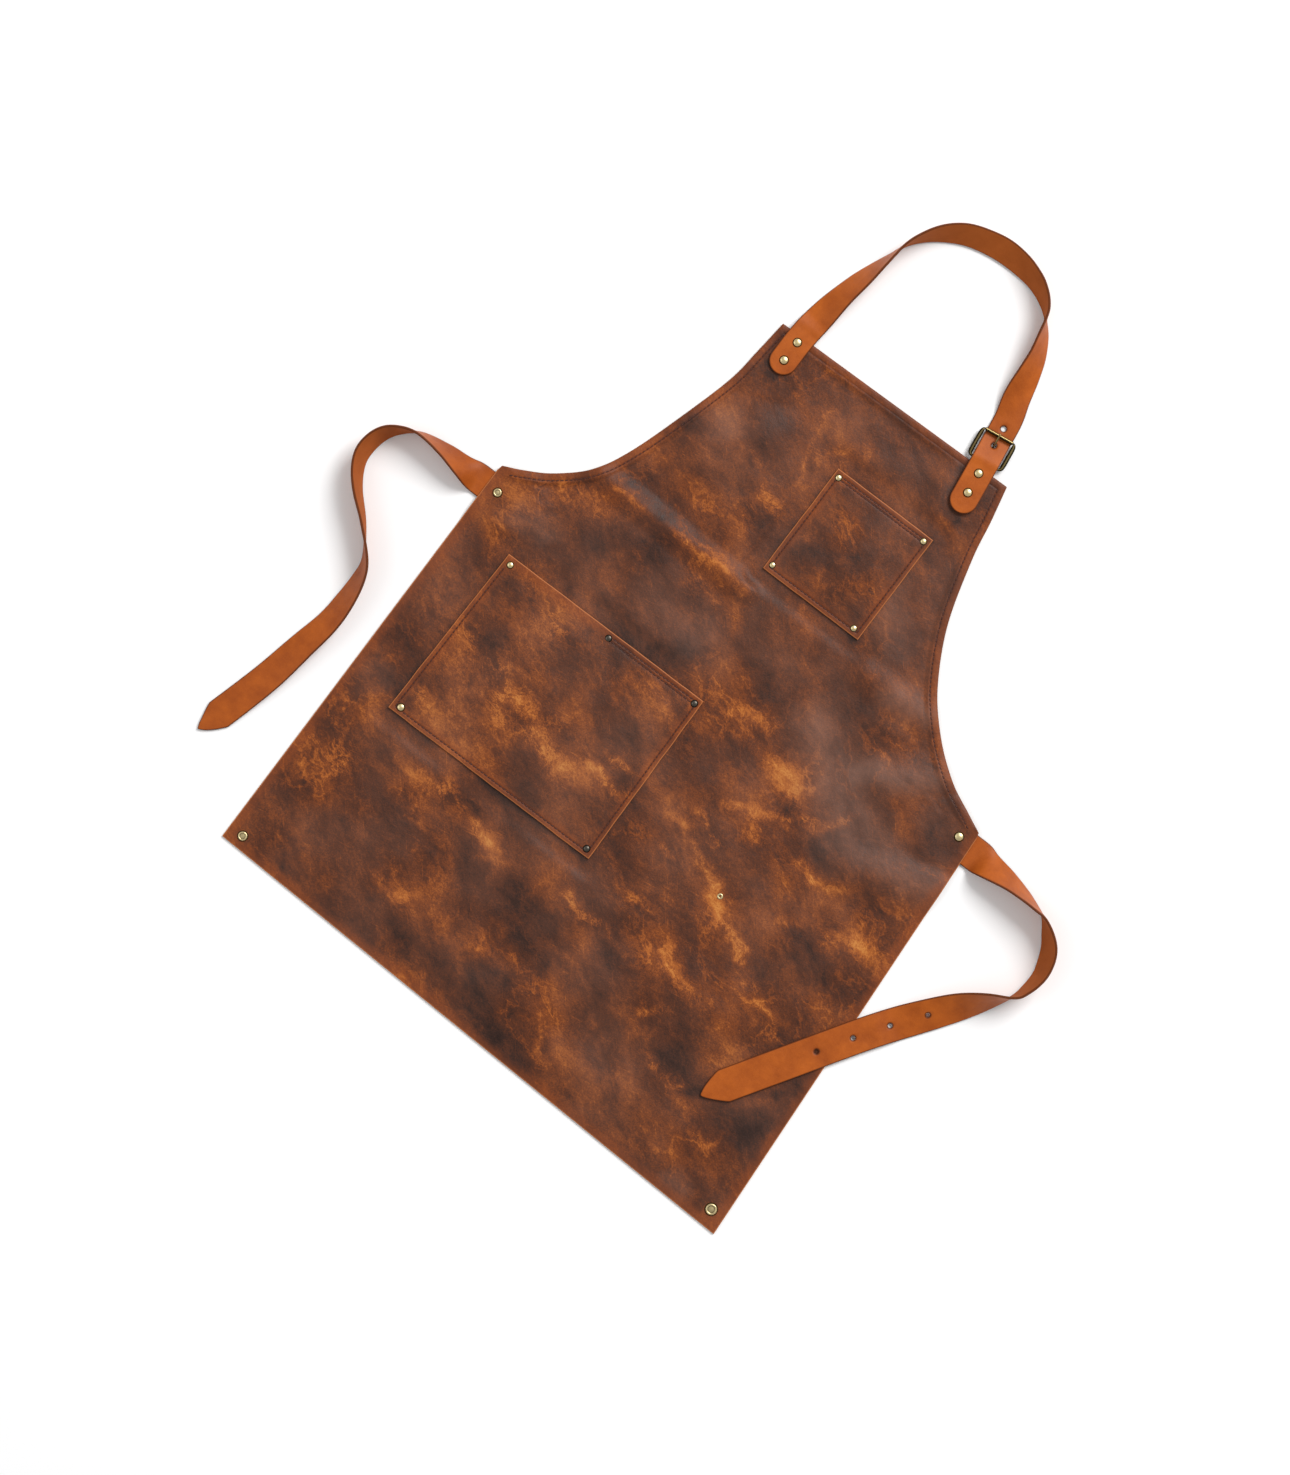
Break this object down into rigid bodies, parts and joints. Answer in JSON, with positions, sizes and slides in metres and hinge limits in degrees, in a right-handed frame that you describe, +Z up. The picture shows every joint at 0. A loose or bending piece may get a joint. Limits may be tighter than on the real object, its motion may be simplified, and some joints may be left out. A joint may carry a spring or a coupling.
{
  "type": "blacksmith apron",
  "caption": "Leather bib apron lying flat, with stitched and riveted pockets, a buckled neck strap and two waist ties",
  "frame": {"origin": "under the middle of the waist line, on the underside that lies on the surface", "axes": "+X across the apron to the side of the buckle, +Y from the hem to the bib, +Z up from the surface, out of the grain side"},
  "size_m": [0.8671, 0.9694, 0.0341],
  "materials": {
    "apron_leather": "waxed pull-up leather, dark brown with lighter rubbed marks",
    "strap_leather": "vegetable-tanned tan bridle leather with burnished edges",
    "rivet_brass": "pressed antique brass",
    "blackened_brass": "blackened brass",
    "buckle_brass": "dark antique brass, worn bright on its edges"
  },
  "bodies": {
    "root": {"apron_body": "apron_leather", "pocket_large": "apron_leather", "pocket_small": "apron_leather", "neck_strap": "strap_leather", "tie_left": "strap_leather", "tie_right": "strap_leather", "buckle_chape": "strap_leather", "buckle_frame": "buckle_brass", "buckle_roller": "buckle_brass", "buckle_prong": "buckle_brass", "eyelet": "rivet_brass", "rivet_small_pocket_top_left": "rivet_brass", "rivet_small_pocket_top_right": "rivet_brass", "rivet_small_pocket_bottom_left": "rivet_brass", "rivet_small_pocket_bottom_right": "rivet_brass", "rivet_large_pocket_top_left": "rivet_brass", "rivet_large_pocket_bottom_left": "rivet_brass", "rivet_large_pocket_top_middle": "blackened_brass", "rivet_large_pocket_top_right": "blackened_brass", "rivet_large_pocket_bottom_right": "blackened_brass", "rivet_waist_left": "rivet_brass", "rivet_waist_right": "rivet_brass", "rivet_hem_left": "rivet_brass", "rivet_hem_right": "rivet_brass", "rivet_neck_left_top": "rivet_brass", "rivet_neck_left_bottom": "rivet_brass", "rivet_neck_right_top": "rivet_brass", "rivet_neck_right_bottom": "rivet_brass"}
  },
  "joints": []
}
